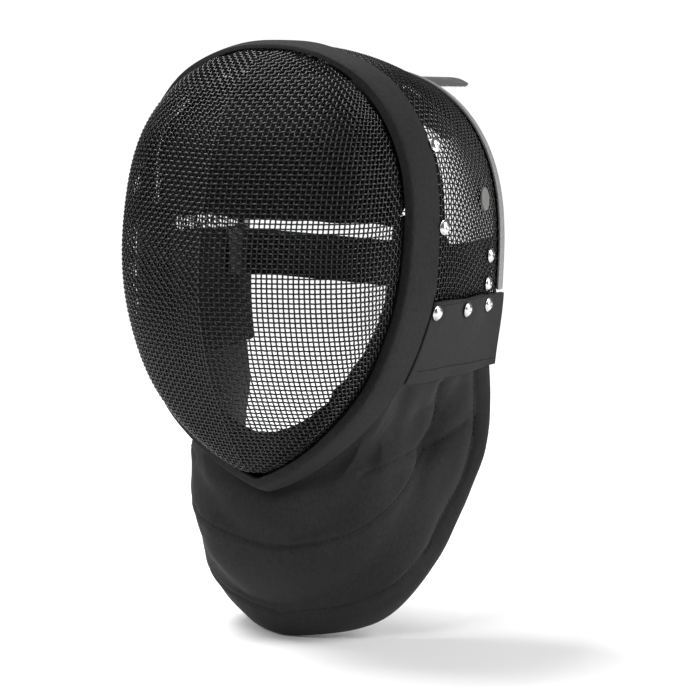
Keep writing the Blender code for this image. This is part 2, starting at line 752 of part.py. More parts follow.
def stud(name, frame, radius, rings, colour, **look):
    """Round head on a surface: rings are (share of radius, height) from its foot to its crown."""
    centre, normal, along, across = frame
    sides = 10
    points = [centre]
    for share, height in rings:
        for k in range(sides):
            angle = 2 * math.pi * k / sides
            around = along * math.cos(angle) + across * math.sin(angle)
            points.append(centre + around * radius * share + normal * height)
    points.append(centre + normal * rings[-1][1] * 1.06)
    faces = []
    top = len(points) - 1
    for k in range(sides):
        n = (k + 1) % sides
        faces.append((0, 1 + n, 1 + k))
        for r in range(len(rings) - 1):
            a = 1 + r * sides
            b = a + sides
            faces.append((a + k, a + n, b + n, b + k))
        last = 1 + (len(rings) - 1) * sides
        faces.append((last + k, last + n, top))
    solid(name, np.array(points), faces, colour, **look)


def studs():
    # name, height below the band top, depth behind the seam plane, distance out from the side shell
    places = (
        ("band_rivet_upper", 0.0634, 0.0245, BAND_WALL + 2 * GAP),
        ("band_rivet_lower", 0.1125, 0.0255, BAND_WALL + 2 * GAP),
        ("strap_rivet_upper", 0.1365, SHELL_DEPTH - 0.0200, GAP),
        ("strap_rivet_lower", 0.1545, SHELL_DEPTH - 0.0215, GAP),
        ("bib_rivet_front", 0.1645, 0.0238, PANEL_WALL + CLEAR),
        ("bib_rivet_middle", 0.1665, SHELL_DEPTH - 0.0580, PANEL_WALL + CLEAR),
        ("bib_rivet_rear", 0.1670, SHELL_DEPTH - 0.0245, PANEL_WALL + CLEAR),
    )
    dome = ((1.0, 0.0), (0.97, 0.30 * RIVET_H), (0.66, 0.82 * RIVET_H), (0.30, RIVET_H))
    for side, label in ((1, "left"), (-1, "right")):
        for name, drop, back, out in places:
            frame = wall_frame(side, -drop, back, out + 0.0003)
            stud("%s_%s" % (name, label), frame, RIVET_R, dome, BRIGHT_STEEL, rough=0.25, metal=1.0)
        flat = ((1.0, 0.0), (1.0, 0.7 * DISC_H), (0.9, DISC_H))
        frame = wall_frame(side, -0.1000, SHELL_DEPTH - 0.0325, GAP + 0.0003)
        stud("side_disc_%s" % label, frame, DISC_R, flat, GREY_DISC, rough=0.6)


for old in list(bpy.data.objects):
    bpy.data.objects.remove(old, do_unlink=True)

face_mesh()
side_mesh()
binding_band()
rear_trim()
side_panels()
bib()
forehead_pad()
crown_pad()
cheek_linings()
chin_padding()
tongue()
back_strap()
studs()
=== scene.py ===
# %% [markdown]
# # A fencing mask
# This scene dresses a fencing mask that already exists as plain solids. The solids give every size and
# place. The scene adds what they leave out: crossed wires, padded cloth, stitches, rivets, finishes and
# light. Lengths are in metres. The mask faces -Y, +Z is up and +X is the wearer's left.

# %% Load the frame
import math

import bpy
import numpy as np
from mathutils import Matrix, Vector
from mathutils.bvhtree import BVHTree


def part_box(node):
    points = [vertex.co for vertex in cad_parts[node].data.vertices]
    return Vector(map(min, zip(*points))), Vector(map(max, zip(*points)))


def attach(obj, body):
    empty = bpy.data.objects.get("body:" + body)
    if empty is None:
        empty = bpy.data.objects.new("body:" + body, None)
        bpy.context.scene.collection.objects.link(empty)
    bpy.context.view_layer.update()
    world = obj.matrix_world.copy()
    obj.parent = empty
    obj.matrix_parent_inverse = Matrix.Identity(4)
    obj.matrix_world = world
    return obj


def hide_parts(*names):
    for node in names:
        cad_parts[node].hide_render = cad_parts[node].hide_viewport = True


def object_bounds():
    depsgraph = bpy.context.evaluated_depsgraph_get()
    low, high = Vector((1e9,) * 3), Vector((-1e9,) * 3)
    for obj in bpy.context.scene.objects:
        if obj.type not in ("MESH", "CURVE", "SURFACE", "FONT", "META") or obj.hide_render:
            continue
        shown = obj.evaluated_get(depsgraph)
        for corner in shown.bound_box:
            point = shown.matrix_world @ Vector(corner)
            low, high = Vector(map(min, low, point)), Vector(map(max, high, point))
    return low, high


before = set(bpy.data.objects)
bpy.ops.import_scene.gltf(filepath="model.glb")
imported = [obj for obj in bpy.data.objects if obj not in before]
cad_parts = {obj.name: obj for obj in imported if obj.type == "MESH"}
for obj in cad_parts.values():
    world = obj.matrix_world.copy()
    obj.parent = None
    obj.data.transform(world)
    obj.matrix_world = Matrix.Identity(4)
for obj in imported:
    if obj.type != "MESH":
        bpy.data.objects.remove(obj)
cad_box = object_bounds()
print("solids:", len(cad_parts))

# %% [markdown]
# ## Working on copies
# A solid of the frame stays as it is. To shape one further, a copy is merged, its triangles are joined
# into four-sided faces, and the copy is worked on. Whole quads matter, because a subdivision surface
# follows them smoothly and makes bumps on stray triangles.

# %% Copies of the solids
def only(*things):
    """Selects these objects and nothing else, the first of them active."""
    bpy.ops.object.select_all(action="DESELECT")
    for thing in things:
        thing.select_set(True)
    bpy.context.view_layer.objects.active = things[0]


def copy_of(node, name):
    """A merged copy of a solid, with quads where the solid has flat or nearly flat ones."""
    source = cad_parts[node]
    made = bpy.data.objects.new(name, source.data.copy())
    made.data.name = name
    bpy.context.scene.collection.objects.link(made)
    only(made)
    bpy.ops.mesh.customdata_custom_splitnormals_clear()
    bpy.ops.object.mode_set(mode="EDIT")
    bpy.ops.mesh.select_all(action="SELECT")
    bpy.ops.mesh.remove_doubles(threshold=0.00002)
    bpy.ops.mesh.tris_convert_to_quads(
        face_threshold=math.radians(50), shape_threshold=math.radians(60),
    )
    bpy.ops.object.mode_set(mode="OBJECT")
    return made


def select_none(kind):
    """Leaves a mesh with nothing selected, so that code can then select some of its parts."""
    bpy.ops.object.mode_set(mode="EDIT")
    bpy.ops.mesh.select_mode(type=kind)
    bpy.ops.mesh.select_all(action="DESELECT")
    bpy.ops.object.mode_set(mode="OBJECT")


def add_modifier(thing, kind, **settings):
    """Adds a modifier and applies it at once."""
    only(thing)
    modifier = thing.modifiers.new(kind.lower(), kind)
    for key, value in settings.items():
        setattr(modifier, key, value)
    bpy.ops.object.modifier_apply(modifier=modifier.name)


def subdivide(thing, levels):
    add_modifier(thing, "SUBSURF", levels=levels, render_levels=levels)


def smooth(thing, degrees=40):
    only(thing)
    bpy.ops.object.shade_smooth_by_angle(angle=math.radians(degrees))


def dress(thing, node, material):
    """Lets a finished piece stand for a solid and gives it its material."""
    thing.data.materials.clear()
    thing.data.materials.append(material)
    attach(thing, "root")
    if node:
        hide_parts(node)
    return thing


def triangles(thing):
    return sum(len(face.vertices) - 2 for face in thing.data.polygons)


def points_of(thing):
    return np.array([v.co for v in thing.data.vertices])


def set_points(thing, points):
    thing.data.vertices.foreach_set("co", np.asarray(points, np.float32).ravel())
    thing.data.update()


# %% [markdown]
# ## Finishes
# Three effects are used by more than one finish, so each is a node group: a cloth weave, soft mottling
# and fine brushing. A group only makes numbers, colours and normals. The shader itself stays in each
# material.

# %% Node groups
def new_group(name, inputs, outputs):
    """A node group with named float inputs (with defaults) and typed outputs."""
    group = bpy.data.node_groups.new(name, "ShaderNodeTree")
    for label, value in inputs:
        socket = group.interface.new_socket(label, in_out="INPUT", socket_type="NodeSocketFloat")
        socket.default_value = value
    for label, kind in outputs:
        group.interface.new_socket(label, in_out="OUTPUT", socket_type=kind)
    return group, group.nodes.new("NodeGroupInput"), group.nodes.new("NodeGroupOutput")


def maths(tree, operation, a, b=None):
    """A Math node; a and b are sockets or plain numbers."""
    node = tree.nodes.new("ShaderNodeMath")
    node.operation = operation
    for index, value in enumerate((a, b)):
        if value is None:
            continue
        if isinstance(value, (int, float)):
            node.inputs[index].default_value = value
        else:
            tree.links.new(value, node.inputs[index])
    return node.outputs[0]


def noise(tree, vector, scale, detail=2.0, rough=0.5):
    node = tree.nodes.new("ShaderNodeTexNoise")
    node.inputs["Detail"].default_value = detail
    node.inputs["Roughness"].default_value = rough
    tree.links.new(vector, node.inputs["Vector"])
    if isinstance(scale, (int, float)):
        node.inputs["Scale"].default_value = scale
    else:
        tree.links.new(scale, node.inputs["Scale"])
    return node.outputs["Fac"]


def weave_group():
    """Plain cloth weave: threads across and down in Object coordinates, as a height and a mask."""
    group, entry, out = new_group(
        "cloth_weave", (("Threads per metre", 1600.0), ("Slub", 0.35)),
        (("Height", "NodeSocketFloat"), ("Thread", "NodeSocketFloat")),
    )
    place = group.nodes.new("ShaderNodeTexCoord").outputs["Object"]
    split = group.nodes.new("ShaderNodeSeparateXYZ")
    group.links.new(place, split.inputs[0])
    turns = maths(group, "MULTIPLY", entry.outputs["Threads per metre"], 2 * math.pi)
    sideways = maths(group, "ADD", split.outputs["X"], split.outputs["Y"])
    across = maths(group, "SINE", maths(group, "MULTIPLY", sideways, turns))
    down = maths(group, "SINE", maths(group, "MULTIPLY", split.outputs["Z"], turns))
    woven = maths(group, "MULTIPLY", across, down)
    drawn = group.nodes.new("ShaderNodeMapping")
    drawn.inputs["Scale"].default_value = (1.0, 1.0, 0.6)
    group.links.new(place, drawn.inputs["Vector"])
    slub = noise(group, drawn.outputs[0], 620.0, 2.0, 0.6)
    slub = maths(group, "MULTIPLY", maths(group, "SUBTRACT", slub, 0.5), entry.outputs["Slub"])
    height = maths(group, "ADD", maths(group, "MULTIPLY", woven, 0.25), slub)
    group.links.new(maths(group, "ADD", height, 0.5), out.inputs["Height"])
    thread = maths(group, "ADD", maths(group, "MULTIPLY", woven, 0.18), 0.5)
    group.links.new(maths(group, "ADD", thread, maths(group, "MULTIPLY", slub, 2.4)), out.inputs["Thread"])
    return group


def mottle_group():
    """Soft uneven tone over the hand's breadth, and a finer one over a few millimetres."""
    group, entry, out = new_group(
        "mottle", (("Broad scale", 14.0), ("Fine scale", 180.0)),
        (("Broad", "NodeSocketFloat"), ("Fine", "NodeSocketFloat")),
    )
    place = group.nodes.new("ShaderNodeTexCoord").outputs["Object"]
    group.links.new(noise(group, place, entry.outputs["Broad scale"], 3.0), out.inputs["Broad"])
    group.links.new(noise(group, place, entry.outputs["Fine scale"], 4.0, 0.6), out.inputs["Fine"])
    return group


def brush_group():
    """Fine scratches that run front to back, for rolled and polished steel."""
    group, entry, out = new_group(
        "brushing", (("Streaks per metre", 900.0),),
        (("Streak", "NodeSocketFloat"), ("Smudge", "NodeSocketFloat")),
    )
    place = group.nodes.new("ShaderNodeTexCoord").outputs["Object"]
    stretch = group.nodes.new("ShaderNodeMapping")
    stretch.inputs["Scale"].default_value = (1.0, 0.03, 1.0)
    group.links.new(place, stretch.inputs["Vector"])
    streak = noise(group, stretch.outputs[0], entry.outputs["Streaks per metre"], 3.0, 0.6)
    group.links.new(streak, out.inputs["Streak"])
    group.links.new(noise(group, place, 55.0, 3.0), out.inputs["Smudge"])
    return group


WEAVE = weave_group()
MOTTLE = mottle_group()
BRUSH = brush_group()


# %% Helpers for materials
def start_material(name, **sockets):
    """A material with its Principled shader's sockets set by name."""
    material = bpy.data.materials.new(name)
    material.use_nodes = True
    shader = material.node_tree.nodes["Principled BSDF"]
    for label, value in sockets.items():
        shader.inputs[label.replace("_", " ")].default_value = value
    return material, material.node_tree, shader


def place_group(tree, group, **values):
    node = tree.nodes.new("ShaderNodeGroup")
    node.node_tree = group
    for label, value in values.items():
        node.inputs[label.replace("_", " ")].default_value = value
    return node


def tone(tree, factor, dark, light, low=0.3, high=0.7):
    """Colour between two tones as the factor goes from low to high."""
    ramp = tree.nodes.new("ShaderNodeMapRange")
    ramp.inputs["From Min"].default_value = low
    ramp.inputs["From Max"].default_value = high
    tree.links.new(factor, ramp.inputs["Value"])
    mix = tree.nodes.new("ShaderNodeMix")
    mix.data_type = "RGBA"
    mix.inputs["A"].default_value = (*dark, 1.0)
    mix.inputs["B"].default_value = (*light, 1.0)
    tree.links.new(ramp.outputs["Result"], mix.inputs["Factor"])
    return mix.outputs["Result"]


def bump(tree, height, distance, strength=1.0, below=None):
    node = tree.nodes.new("ShaderNodeBump")
    node.inputs["Distance"].default_value = distance
    node.inputs["Strength"].default_value = strength
    tree.links.new(height, node.inputs["Height"])
    if below is not None:
        tree.links.new(below, node.inputs["Normal"])
    return node.outputs["Normal"]


# %% [markdown]
# ## Cloth
# The bib, its side panels and the band are covered in a dense dark grey cloth. A plain colour would look
# like plastic, so the weave gives a fine relief, slubs break it up, and the tone drifts a little over the
# piece. A low sheen lifts the edges, as short fibres do.

# %% Cloth finishes
def cloth(name, dark, light, threads, depth, sheen, rough=0.86):
    material, tree, shader = start_material(
        name, Roughness=rough, Specular_IOR_Level=0.18, Sheen_Weight=sheen, Sheen_Roughness=0.45,
    )
    weave = place_group(tree, WEAVE, Threads_per_metre=threads)
    mottle = place_group(tree, MOTTLE)
    drift = maths(tree, "MULTIPLY", mottle.outputs["Broad"], 0.35)
    drift = maths(tree, "ADD", drift, maths(tree, "MULTIPLY", weave.outputs["Thread"], 0.65))
    tree.links.new(tone(tree, drift, dark, light), shader.inputs["Base Color"])
    soft = bump(tree, mottle.outputs["Fine"], 0.0004, 0.5)
    tree.links.new(bump(tree, weave.outputs["Height"], depth, 0.8, soft), shader.inputs["Normal"])
    return material


BIB_CLOTH = cloth("bib_cloth", (0.0105, 0.0105, 0.0113), (0.0225, 0.0225, 0.0236), 900.0, 0.00016, 0.04)
BAND_CLOTH = cloth("binding_cloth", (0.0060, 0.0060, 0.0063), (0.0200, 0.0200, 0.0206), 640.0, 0.00022, 0.04)
LINING = cloth("lining_cloth", (0.0022, 0.0022, 0.0024), (0.0045, 0.0045, 0.0048), 900.0, 0.00020, 0.0)
THREAD = cloth("sewing_thread", (0.008, 0.008, 0.009), (0.015, 0.015, 0.016), 4000.0, 0.00005, 0.05)


# %% Ribbed elastic
def elastic():
    """Black elastic webbing: ribs along the strap and a fine cross weave."""
    material, tree, shader = start_material("strap_elastic", Roughness=0.8, Sheen_Weight=0.12)
    place = tree.nodes.new("ShaderNodeTexCoord").outputs["Object"]
    split = tree.nodes.new("ShaderNodeSeparateXYZ")
    tree.links.new(place, split.inputs[0])
    ribs = maths(tree, "SINE", maths(tree, "MULTIPLY", split.outputs["Z"], 2 * math.pi * 480))
    cross = maths(tree, "SINE", maths(tree, "MULTIPLY", split.outputs["X"], 2 * math.pi * 1100))
    relief = maths(tree, "ADD", ribs, maths(tree, "MULTIPLY", cross, 0.3))
    mottle = place_group(tree, MOTTLE)
    tree.links.new(
        tone(tree, mottle.outputs["Fine"], (0.008, 0.008, 0.009), (0.016, 0.016, 0.017)),
        shader.inputs["Base Color"],
    )
    tree.links.new(bump(tree, relief, 0.0002, 0.7), shader.inputs["Normal"])
    return material


ELASTIC = elastic()

# %% [markdown]
# ## Metal and rubber
# The wires are steel with a thin black coat. The coat is glossy enough to catch a bright point on every
# bend, which is what makes the mesh sparkle, and it is a little uneven. Rivets and tongue are bare bright
# steel.

# %% Metal and rubber finishes
def coated_wire():
    material, tree, shader = start_material(
        "black_wire", Specular_IOR_Level=0.26, Coat_Weight=0.12, Coat_Roughness=0.10,
    )
    mottle = place_group(tree, MOTTLE, Fine_scale=900.0)
    tree.links.new(
        tone(tree, mottle.outputs["Fine"], (0.004, 0.004, 0.0045), (0.010, 0.010, 0.011)),
        shader.inputs["Base Color"],
    )
    rough = maths(tree, "ADD", maths(tree, "MULTIPLY", mottle.outputs["Fine"], 0.20), 0.14)
    tree.links.new(rough, shader.inputs["Roughness"])
    tree.links.new(bump(tree, mottle.outputs["Fine"], 0.00005, 0.4), shader.inputs["Normal"])
    return material


def bright_steel(name, rough, streaks):
    material, tree, shader = start_material(name, Metallic=1.0)
    brush = place_group(tree, BRUSH, Streaks_per_metre=streaks)
    tree.links.new(
        tone(tree, brush.outputs["Streak"], (0.50, 0.50, 0.50), (0.66, 0.66, 0.65)),
        shader.inputs["Base Color"],
    )
    worn = maths(tree, "MULTIPLY", brush.outputs["Smudge"], 0.14)
    worn = maths(tree, "ADD", worn, maths(tree, "MULTIPLY", brush.outputs["Streak"], 0.10))
    tree.links.new(maths(tree, "ADD", worn, rough), shader.inputs["Roughness"])
    tree.links.new(bump(tree, brush.outputs["Streak"], 0.00004, 0.5), shader.inputs["Normal"])
    return material


def rubber(name, dark, light, rough):
    material, tree, shader = start_material(name, Specular_IOR_Level=0.4)
    mottle = place_group(tree, MOTTLE, Fine_scale=700.0)
    tree.links.new(tone(tree, mottle.outputs["Fine"], dark, light), shader.inputs["Base Color"])
    uneven = maths(tree, "ADD", maths(tree, "MULTIPLY", mottle.outputs["Fine"], 0.15), rough)
    tree.links.new(uneven, shader.inputs["Roughness"])
    tree.links.new(bump(tree, mottle.outputs["Fine"], 0.00008, 0.5), shader.inputs["Normal"])
    return material


WIRE = coated_wire()
TONGUE_STEEL = bright_steel("bright_steel", 0.16, 700.0)
RIVET_STEEL = bright_steel("rivet_steel", 0.12, 1400.0)
TRIM = rubber("grey_trim", (0.17, 0.17, 0.168), (0.23, 0.23, 0.228), 0.42)
DISC = rubber("grey_disc", (0.115, 0.115, 0.110), (0.155, 0.155, 0.150), 0.5)

# %% [markdown]
# ## The skins that the wires lie on
# On the real mask, flat wire cloth is pressed into shape over a form. Here the outer faces of the solid
# are that form: they are cut free, smoothed with a subdivision surface, and measured with rays along
# level sections. The crease down the face stays sharp, because its edges get a full crease value first.

# %% Smooth outer skins
def outer_skin(node, name, inside, turned=0.25):
    """The outward faces of a sheet; inside is a point in the hollow."""
    skin = copy_of(node, name)
    select_none("FACE")
    for face in skin.data.polygons:
        away = (face.center - inside).normalized()
        face.select = face.normal.dot(away) < turned
    bpy.ops.object.mode_set(mode="EDIT")
    bpy.ops.mesh.delete(type="FACE")
    bpy.ops.object.mode_set(mode="OBJECT")
    select_none("EDGE")
    return skin


def crease_middle(skin):
    """Keeps the edges on the middle plane sharp."""
    for edge in skin.data.edges:
        ends = [skin.data.vertices[index].co.x for index in edge.vertices]
        edge.select = max(abs(x) for x in ends) < 0.0001
    bpy.ops.object.mode_set(mode="EDIT")
    bpy.ops.transform.edge_crease(value=1.0)
    bpy.ops.object.mode_set(mode="OBJECT")


FACE_LOW, FACE_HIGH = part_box("face_mesh")
SIDE_LOW, SIDE_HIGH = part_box("side_mesh")
FACE_MIDDLE = Vector((0.0, FACE_HIGH.y, (FACE_LOW.z + FACE_HIGH.z) / 2))
SIDE_AXIS_Z = SIDE_LOW.z + 0.36 * (SIDE_HIGH.z - SIDE_LOW.z)
SIDE_MIDDLE = Vector((0.0, (SIDE_LOW.y + SIDE_HIGH.y) / 2, SIDE_AXIS_Z))

face_skin = outer_skin("face_mesh", "face_skin", FACE_MIDDLE)
crease_middle(face_skin)
subdivide(face_skin, 2)
side_skin = outer_skin("side_mesh", "side_skin", SIDE_MIDDLE)
subdivide(side_skin, 2)
print("skins:", len(face_skin.data.polygons), len(side_skin.data.polygons))


# %% [markdown]
# ## Woven wire, measured on the skin
# Wire cloth keeps its spacing when it is pressed, so the wires are laid by distance along the surface. A
# level section through the skin is found with rays, its length is added up from the crease, and wires are
# placed at equal steps of that length. Every wire bends over one neighbour and under the next, so it is
# moved in and out by a little less than half its thickness at each crossing.

# %% Sections of a skin
WIRE_RADIUS = 0.00054
SIDE_WIRE_RADIUS = 0.00047
COLUMN_STEP = 0.0032
ROW_STEP = 0.00295
LEVEL_STEP = 0.0014
CRIMP = 0.00044
SHELL_HALF = 0.0010
RAY_REACH = 0.5


def tree_of(skin):
    corners = [vertex.co for vertex in skin.data.vertices]
    return BVHTree.FromPolygons(corners, [face.vertices[:] for face in skin.data.polygons])


def ray_line(tree, centre, ways):
    """Points where rays from outside towards a centre meet a skin, up to the first ray that misses."""
    found = []
    for way in ways:
        hit = tree.ray_cast(centre + way * RAY_REACH, -way, RAY_REACH)[0]
        if hit is None:
            break
        found.append(hit)
    return np.array(found)


def face_section(tree, level, count=160, first=-90.0, last=25.0):
    """Points on the face skin at one level, from the crease round to the seam on the wearer's left."""
    turns = [math.radians(first + (last - first) * k / count) for k in range(count + 1)]
    ways = [Vector((math.cos(turn), math.sin(turn), 0.0)) for turn in turns]
    return ray_line(tree, Vector((0.0, FACE_HIGH.y, level)), ways)


def by_length(points):
    """Distance along a row of points from its first one."""
    steps = np.linalg.norm(np.diff(points, axis=0), axis=1)
    return np.concatenate(([0.0], np.cumsum(steps)))


def resample(points, lengths, wanted):
    return np.stack([np.interp(wanted, lengths, points[:, axis]) for axis in range(3)], axis=1)


def sections_of(tree, levels, cast):
    """Sections at each level where the skin is met, with their lengths."""
    kept, lines = [], []
    for level in levels:
        line = cast(tree, float(level))
        if len(line) > 3:
            kept.append(float(level))
            lines.append(line)
    return np.array(kept), lines, [by_length(line) for line in lines]


# %% Wires as round tubes
def tubes(name, lines, radius, sides=6):
    """One mesh of round tubes along lines of points, closed at both ends."""
    curve = bpy.data.curves.new(name, "CURVE")
    curve.dimensions = "3D"
    curve.bevel_depth = radius
    curve.bevel_resolution = (sides - 4) // 2
    curve.use_fill_caps = True
    for line in lines:
        spline = curve.splines.new("POLY")
        spline.points.add(len(line) - 1)
        flat = np.ones((len(line), 4), np.float32)
        flat[:, :3] = line
        spline.points.foreach_set("co", flat.ravel())
    made = bpy.data.objects.new(name, curve)
    bpy.context.scene.collection.objects.link(made)
    only(made)
    bpy.ops.object.convert(target="MESH")
    for face in made.data.polygons:
        face.use_smooth = True
    return made


# %% Steps between the sections
def grid_of(lines, lengths, columns):
    """A point at every column step along each section, and nothing past a section's end."""
    grid = np.full((len(lines), columns, 3), np.nan)
    wanted = np.arange(columns) * COLUMN_STEP
    for k, line in enumerate(lines):
        inside = wanted <= lengths[k][-1]
        grid[k, inside] = resample(line, lengths[k], wanted[inside])
    return grid


def level_steps(grid, levels, follow):
    """Distance from each level to the next, column by column.

    follow(level) is 1 where rows keep the spacing of the middle line and 0 where they keep the local one."""
    step = np.linalg.norm(np.diff(grid, axis=0), axis=2)
    share = np.array([follow(0.5 * (a + b)) for a, b in zip(levels[:-1], levels[1:])])[:, None]
    step = np.where(np.isnan(step), step[:, :1], step)
    return np.sqrt(share * step[:, :1] ** 2 + (1 - share) * step ** 2)


# %% Crossings of the wires
def crossings(tree, grid, step, widest):
    """Where column j crosses row r: a point in the middle of the sheet, its normal, and its section."""
    found = {}
    for j in range(grid.shape[1]):
        valid = np.where(~np.isnan(grid[:, j, 0]))[0]
        if len(valid) < 3:
            continue
        low, high = valid[0], valid[-1]
        way = np.concatenate(([0.0], np.cumsum(step[low:high, j])))
        way = (way - np.interp(widest, np.arange(low, high + 1), way)) / ROW_STEP
        for r in range(math.ceil(way[0]), math.floor(way[-1]) + 1):
            at = float(np.interp(r, way, np.arange(low, high + 1)))
            k = min(int(at), high - 1)
            point = grid[k, j] + (at - k) * (grid[k + 1, j] - grid[k, j])
            if np.isnan(point[0]):
                continue
            normal = np.array(tree.find_nearest(Vector(point))[1])
            if j == 0:
                normal[0] = 0.0
            normal /= np.linalg.norm(normal)
            found[j, r] = (point - normal * SHELL_HALF, normal, at)
    return found


def unbroken(keys, axis):
    """Splits a row of crossings where one is missing."""
    parts = [[]]
    for key in sorted(keys):
        if parts[-1] and key[axis] - parts[-1][-1][axis] > 1:
            parts.append([])
        parts[-1].append(key)
    return [part for part in parts if len(part) > 1]


def bent(nodes, run, sign):
    """The points of one wire with its bends: out at one crossing, in at the next."""
    path = []
    for n, (j, r) in enumerate(run):
        point, normal = nodes[j, r][:2]
        if n:
            path.append((nodes[run[n - 1]][0] + point) / 2)
        path.append(point + normal * (CRIMP * sign * (-1) ** (j + r)))
    return path


# %% Where the wires meet the rim
LEAST_END = 0.0006
MOST_END = 0.012


def rim_beside(rim, at):
    """The rim's place at a section, or between two of them."""
    k = min(max(int(at), 0), len(rim) - 2)
    return rim[k] + (at - k) * (rim[k + 1] - rim[k])


def rim_beyond(rim, reach, column, upward):
    """The rim's place where a column leaves the skin, above or below the widest section."""
    length = column * COLUMN_STEP
    widest = int(reach.argmax())
    for near in range(widest, len(reach) - 1) if upward else range(widest, 0, -1):
        far = near + 1 if upward else near - 1
        if reach[far] < length <= reach[near]:
            share = (reach[near] - length) / max(reach[near] - reach[far], 1e-9)
            return rim[near] + share * (rim[far] - rim[near])
    return None


def toward(path, end, normal):
    """Runs a wire on to the rim, unless that is too near to matter or too far to be right."""
    if end is not None:
        goal = end - normal * SHELL_HALF
        if LEAST_END < np.linalg.norm(goal - path[-1]) < MOST_END:
            path.append(goal)
    return path


# %% A woven half shell, mirrored
def weave(tree, levels, lines, lengths, follow):
    """Two sets of wires, across the levels and along them, over both halves of a shell."""
    reach = np.array([length[-1] for length in lengths])
    rim = np.array([line[-1] for line in lines])
    grid = grid_of(lines, lengths, int(reach.max() / COLUMN_STEP) + 1)
    nodes = crossings(tree, grid, level_steps(grid, levels, follow), int(reach.argmax()))
    down, across = [], []
    for j in range(grid.shape[1]):
        for run in unbroken([key for key in nodes if key[0] == j], 1):
            path = bent(nodes, run, 1)
            path = toward(path, rim_beyond(rim, reach, j, True), nodes[run[-1]][1])
            path = toward(path[::-1], rim_beyond(rim, reach, j, False), nodes[run[0]][1])
            down.append(np.array(path))
            if j:
                down.append(np.array(path) * (-1, 1, 1))
    for r in sorted({key[1] for key in nodes}):
        for run in unbroken([key for key in nodes if key[1] == r], 0):
            normal, at = nodes[run[-1]][1:]
            half = np.array(toward(bent(nodes, run, -1), rim_beside(rim, at), normal))
            if run[0][0] == 0:
                across.append(np.concatenate((half[:0:-1] * (-1, 1, 1), half)))
            else:
                across += [half, half * (-1, 1, 1)]
    return down, across


# %% Face wires
def fade(low, high):
    """1 up to the lower level, then falling to 0 at the higher one."""
    return lambda level: min(max((high - level) / (high - low), 0.0), 1.0)


face_tree = tree_of(face_skin)
face_levels = np.arange(FACE_LOW.z + 0.0004, FACE_HIGH.z, LEVEL_STEP)
face_levels, face_lines, face_lengths = sections_of(face_tree, face_levels, face_section)
down, across = weave(face_tree, face_levels, face_lines, face_lengths, fade(-0.100, -0.010))
wires_down = dress(tubes("face_wires_down", down, WIRE_RADIUS), "face_mesh", WIRE)
wires_across = dress(tubes("face_wires_across", across, WIRE_RADIUS), "face_mesh", WIRE)
print("face wires:", len(down), len(across), triangles(wires_down), triangles(wires_across))

# %% [markdown]
# ## The side shell
# The second piece of wire cloth covers the top and both sides. It is measured the same way, in slices
# across the mask, and each slice is followed from the middle of the top down to the ear.

# %% Side wires
def hoop(tree, depth, count=150, last=124.0):
    """Points on the side shell at one depth, from the middle of the top down the wearer's left."""
    turns = [math.radians(last * k / count) for k in range(count + 1)]
    ways = [Vector((math.sin(turn), 0.0, math.cos(turn))) for turn in turns]
    return ray_line(tree, Vector((0.0, depth, SIDE_AXIS_Z)), ways)


side_tree = tree_of(side_skin)
side_levels = np.arange(SIDE_LOW.y + 0.0010, SIDE_HIGH.y, LEVEL_STEP)
side_levels, side_lines, side_lengths = sections_of(side_tree, side_levels, hoop)
along, hoops = weave(side_tree, side_levels, side_lines, side_lengths, lambda level: 1.0)
side_along = dress(tubes("side_wires_along", along, SIDE_WIRE_RADIUS), "side_mesh", WIRE)
side_hoops = dress(tubes("side_wires_hoops", hoops, SIDE_WIRE_RADIUS), "side_mesh", WIRE)
print("side wires:", len(along), len(hoops), triangles(side_along), triangles(side_hoops))

only(face_skin, side_skin)
bpy.ops.object.delete()

# %% [markdown]
# ## Cloth parts
# Cloth over foam has no sharp corner and no flat face. Each cloth part is a softened copy of its solid:
# its hard edges get a part crease, so that the subdivision rounds them to the thickness of folded cloth
# and no further. Then its points are moved a little in or out, for slack, wrinkles and sewn channels.

# %% Softened copies and gentle unevenness
def soft_copy(node, name, levels=2, hold=0.45, sharp=32):
    """A subdivided copy whose sharp edges are rounded, but stay where they are."""
    made = copy_of(node, name)
    select_none("EDGE")
    bpy.ops.object.mode_set(mode="EDIT")
    bpy.ops.mesh.edges_select_sharp(sharpness=math.radians(sharp))
    bpy.ops.transform.edge_crease(value=hold)
    bpy.ops.object.mode_set(mode="OBJECT")
    subdivide(made, levels)
    return made


def normals_of(thing):
    return np.array([v.normal for v in thing.data.vertices])


def push(thing, points, normals, move):
    """Moves every point along its normal by its own amount."""
    set_points(thing, points + normals * move[:, None])


def hump(away, width, centre=0.0):
    """1 at this distance, fading away over this width on both sides."""
    return np.exp(-((away - centre) / width) ** 2)


def rolling(points, length, seed):
    """Smooth unevenness, mostly between -1 and 1, of about this wavelength."""
    total = np.zeros(len(points))
    for k in range(6):
        way = Vector((
            math.sin(seed + 2.1 * k), math.cos(1.7 * seed + 3.3 * k), math.sin(0.6 * seed + 5.1 * k),
        ))
        way.normalize()
        size = length * (0.7 + 0.16 * k)
        total += np.sin(points @ np.array(way) * 2 * math.pi / size + seed + 1.9 * k)
    return total / 3.4


def uneven(thing, depth, length, seed):
    points = points_of(thing)
    push(thing, points, normals_of(thing), depth * rolling(points, length, seed))


def path_distance(points, path):
    """Each point's distance from a line of points, and how far along the line its nearest place is."""
    path = np.asarray(path, float)
    best = np.full(len(points), 1e9)
    along = np.zeros(len(points))
    run = 0.0
    for a, b in zip(path[:-1], path[1:]):
        span = b - a
        size = np.linalg.norm(span)
        share = np.clip((points - a) @ span / size ** 2, 0, 1)
        away = np.linalg.norm(points - a - share[:, None] * span, axis=1)
        nearer = away < best
        best[nearer] = away[nearer]
        along[nearer] = run + share[nearer] * size
        run += size
    return best, along


